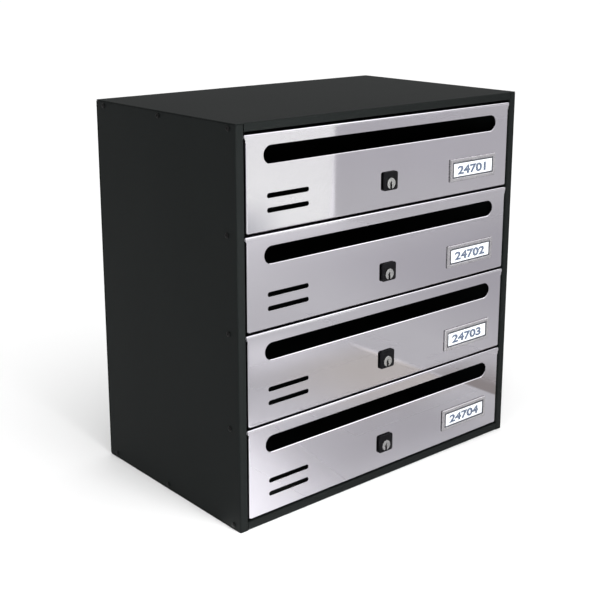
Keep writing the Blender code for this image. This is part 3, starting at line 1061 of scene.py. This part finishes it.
def camera():
    data = bpy.data.cameras.new("camera")
    data.lens = LENS
    data.shift_y = SHIFT_Y
    made = bpy.data.objects.new("camera", data)
    made.location = CAMERA
    made.rotation_euler = (math.radians(90 - PITCH), 0, math.radians(-YAW))
    bpy.context.scene.collection.objects.link(made)
    bpy.context.scene.camera = made


def area_light(name, place, target, size, radiance):
    """A soft panel that faces a point. Its radiance is the brightness of its surface."""
    data = bpy.data.lights.new(name, "AREA")
    data.shape = "RECTANGLE"
    data.size, data.size_y = size
    data.energy = radiance * math.pi * size[0] * size[1]
    made = bpy.data.objects.new(name, data)
    made.location = place
    made.rotation_mode = "QUATERNION"
    made.rotation_quaternion = (Vector(target) - Vector(place)).to_track_quat("-Z", "Y")
    made.visible_camera = False
    bpy.context.scene.collection.objects.link(made)
    return made


def world():
    """White to the camera. What it lights gets a soft sky, brightest overhead and on the front left."""
    made = bpy.data.worlds.new("studio")
    made.use_nodes = True
    nodes, links = made.node_tree.nodes, made.node_tree.links
    soft = nodes["Background"]
    soft.inputs["Color"].default_value = (1.0, 1.0, 1.0, 1.0)
    towards = nodes.new("ShaderNodeVectorMath")
    towards.operation = "DOT_PRODUCT"
    towards.inputs[1].default_value = SKY_SLOPE
    links.new(nodes.new("ShaderNodeTexCoord").outputs["Generated"], towards.inputs[0])
    strength = nodes.new("ShaderNodeMath")
    strength.inputs[1].default_value = SKY_LEVEL
    links.new(towards.outputs["Value"], strength.inputs[0])
    links.new(strength.outputs["Value"], soft.inputs["Strength"])
    seen = nodes.new("ShaderNodeBackground")
    seen.inputs["Color"].default_value = (1.0, 1.0, 1.0, 1.0)
    seen.inputs["Strength"].default_value = SEEN_SKY
    pick = nodes.new("ShaderNodeMixShader")
    links.new(nodes.new("ShaderNodeLightPath").outputs["Is Camera Ray"], pick.inputs["Fac"])
    links.new(soft.outputs["Background"], pick.inputs[1])
    links.new(seen.outputs["Background"], pick.inputs[2])
    links.new(pick.outputs["Shader"], nodes["World Output"].inputs["Surface"])
    bpy.context.scene.world = made


def ramp_along(nodes, links, output, stops):
    """Grey along one of a card's sides. Each stop is (place from 0 to 1, value)."""
    ramp = nodes.new("ShaderNodeValToRGB")
    ramp.color_ramp.interpolation = "CARDINAL"
    for place, value in stops[1:-1]:
        ramp.color_ramp.elements.new(place)
    for element, (place, value) in zip(ramp.color_ramp.elements, stops):
        element.position = place
        element.color = (value, value, value, 1.0)
    links.new(output, ramp.inputs["Fac"])
    return ramp.outputs["Color"]


def card_look(name, glow, tint, across, along):
    """Clear, apart from a mask that fades at the sides: there it glows and tints what is behind."""
    look = bpy.data.materials.new(name)
    look.use_nodes = True
    nodes, links = look.node_tree.nodes, look.node_tree.links
    nodes.remove(nodes["Principled BSDF"])
    sides = nodes.new("ShaderNodeSeparateXYZ")
    links.new(nodes.new("ShaderNodeTexCoord").outputs["Generated"], sides.inputs["Vector"])
    mask = nodes.new("ShaderNodeMath")
    mask.operation = "MULTIPLY"
    links.new(ramp_along(nodes, links, sides.outputs["X"], across), mask.inputs[0])
    links.new(ramp_along(nodes, links, sides.outputs["Y"], along), mask.inputs[1])
    filtered = nodes.new("ShaderNodeMix")
    filtered.data_type = "RGBA"
    filtered.inputs["A"].default_value = (1.0, 1.0, 1.0, 1.0)
    filtered.inputs["B"].default_value = (*tint, 1.0)
    links.new(mask.outputs["Value"], filtered.inputs["Factor"])
    through = nodes.new("ShaderNodeBsdfTransparent")
    links.new(filtered.outputs["Result"], through.inputs["Color"])
    strength = nodes.new("ShaderNodeMath")
    strength.operation = "MULTIPLY"
    strength.inputs[1].default_value = glow
    links.new(mask.outputs["Value"], strength.inputs[0])
    lit = nodes.new("ShaderNodeEmission")
    links.new(strength.outputs["Value"], lit.inputs["Strength"])
    both = nodes.new("ShaderNodeAddShader")
    links.new(through.outputs["BSDF"], both.inputs[0])
    links.new(lit.outputs["Emission"], both.inputs[1])
    links.new(both.outputs["Shader"], nodes["Material Output"].inputs["Surface"])
    return look


def reflections():
    """The bright and dim places of the studio that the doors mirror, as painted reflections: glowing cards
    paint highlights and tinted cards paint shade. Only reflections show them.
    """
    flat = ((0, 1), (0.5, 1), (1, 1))
    bell = [(i / 8, math.sin(math.pi * i / 8) ** 2) for i in range(9)]
    plateau = ((0, 0), (0.07, 0.09), (0.25, 0.8), (0.5, 1), (0.75, 0.8), (0.93, 0.09), (1, 0))
    rising = ((0, 0), (0.1, 0.15), (0.35, 1), (0.7, 1), (1, 1))
    falling = (
        (0, 0), (0.1, 0.15), (0.35, 1), (0.5, 0.88),
        (0.725, 0.42), (0.854, 0.16), (0.946, 0.04), (1, 0),
    )
    shadow_edge = ((0, 0), (0.04, 1), (0.35, 0.7), (1, 0))
    warm_patch = ((0, 0), (0.5, 0.8), (0.97, 1), (1, 0))
    dark, clear, level = 0, (1, 1, 1), (0, 0, 0)
    # Name, middle, size, turn in degrees, glow, tint, fade along X, fade along Y
    cards = (
        ("panel_tint", (0.30, -1.068, 0.205), (0.98, 0.45), (90, 5, 0),
         dark, (0.97, 0.99, 0.94), flat, flat),
        ("panel_corner", (0.53, -1.06, 0.00), (0.26, 0.20), (90, 0, 0),
         dark, (0.60, 0.60, 0.64), bell, bell),
        ("panel_top", (-0.01, -1.069, 0.66), (1.60, 0.46), (90, 0, 0),
         0.85, clear, flat, flat),
        ("overhead", (1.40, -0.85, 1.50), (1.50, 2.60), level,
         2.6, clear, plateau, plateau),
        ("horizon", (1.90, -1.75, 0.60), (2.20, 1.10), (90, 0, 50),
         0.9, clear, plateau, plateau),
        ("dark_side", (-0.74, -0.52, 0.35), (1.20, 0.80), (90, 0, -45),
         dark, (0.32, 0.32, 0.34), plateau, plateau),
        ("floor_right", (1.30, -0.05, 0.0010), (1.00, 0.70), level,
         1.4, clear, plateau, plateau),
        ("glow_left", (-0.140, -0.25, 0.0010), (0.24, 0.34), (0, 0, 11.3),
         1.15, clear, falling, rising),
        ("glow_sheet", (0.145, -0.50, 0.0010), (0.34, 0.20), level,
         0.40, clear, bell, bell),
        ("sheet_rim", (0.262, -0.39, 0.0012), (0.016, 0.18), level,
         0.65, clear, bell, bell),
        ("sheet_shade", (0.325, -0.21, 0.0014), (0.12, 0.26), level,
         dark, (0.55, 0.51, 0.48), shadow_edge, rising),
        ("sheet_warmth", (0.155, -0.34, 0.0016), (0.22, 0.26), level,
         dark, (1.0, 0.955, 0.88), warm_patch, plateau),
        ("far_shade", (0.90, -0.48, 0.0018), (1.20, 1.16), level,
         dark, (0.77, 0.76, 0.785), plateau, plateau),
        ("near_shade", (0.08, -0.215, 0.0019), (0.36, 0.20), level,
         dark, (0.80, 0.795, 0.80), plateau, plateau),
        ("distant_shade", (1.75, -1.70, 0.0020), (1.90, 1.70), level,
         dark, (0.95, 0.94, 0.96), plateau, plateau),
    )
    for name, place, size, turn, glow, tint, across, along in cards:
        made = stage_sheet(name, size, place, card_look(name, glow, tint, across, along))
        made.rotation_euler = [math.radians(angle) for angle in turn]
        for kind in ("camera", "diffuse", "transmission", "volume_scatter", "shadow"):
            setattr(made, f"visible_{kind}", False)


def sun():
    data = bpy.data.lights.new("sun", "SUN")
    data.energy = SUN_STRENGTH
    data.angle = math.radians(SUN_SPREAD)
    made = bpy.data.objects.new("sun", data)
    made.rotation_mode = "QUATERNION"
    made.rotation_quaternion = Vector(SUN_DIRECTION).to_track_quat("-Z", "Y")
    bpy.context.scene.collection.objects.link(made)


def studio():
    stage_sheet("floor", FLOOR, (0, 0, -CLEAR), looks["floor_white"])
    world()
    sun()
    area_light("panel", place=PANEL, target=(PANEL[0], 0, PANEL[2]), size=PANEL_SIZE, radiance=0.96)
    area_light("key", place=(-0.4, -2.3, 1.6), target=(0.4, -1.2, 0), size=(1.2, 1.2), radiance=0.6)
    fill = area_light("fill", place=FILL, target=(FILL[0], 0, FILL[2]), size=(0.16, 0.28), radiance=11.5)
    fill.visible_glossy = False  # the doors don't mirror it
    reflections()
    bpy.context.scene.view_settings.view_transform = "Standard"


def build():
    side_panel("side_panel_left", -1)
    side_panel("side_panel_right", 1)
    top_panel()
    bottom_panel()
    back_panel()
    for number in range(1, DOORS):
        shelf(number)
    for side in ("left", "right"):
        for number in range(1, SCREWS_PER_SIDE + 1):
            casing_screw(f"casing_screw_{side}_{number}")
    for number in range(1, DOORS + 1):
        hinge_rod(number)
        door(number)
        name_frame(number)
        window_pane(number)
        name_card(number)
        lock_housing(number)
        lock_clip(number)
        lock_plug(number)
        lock_cam(number)


build()
camera()
studio()
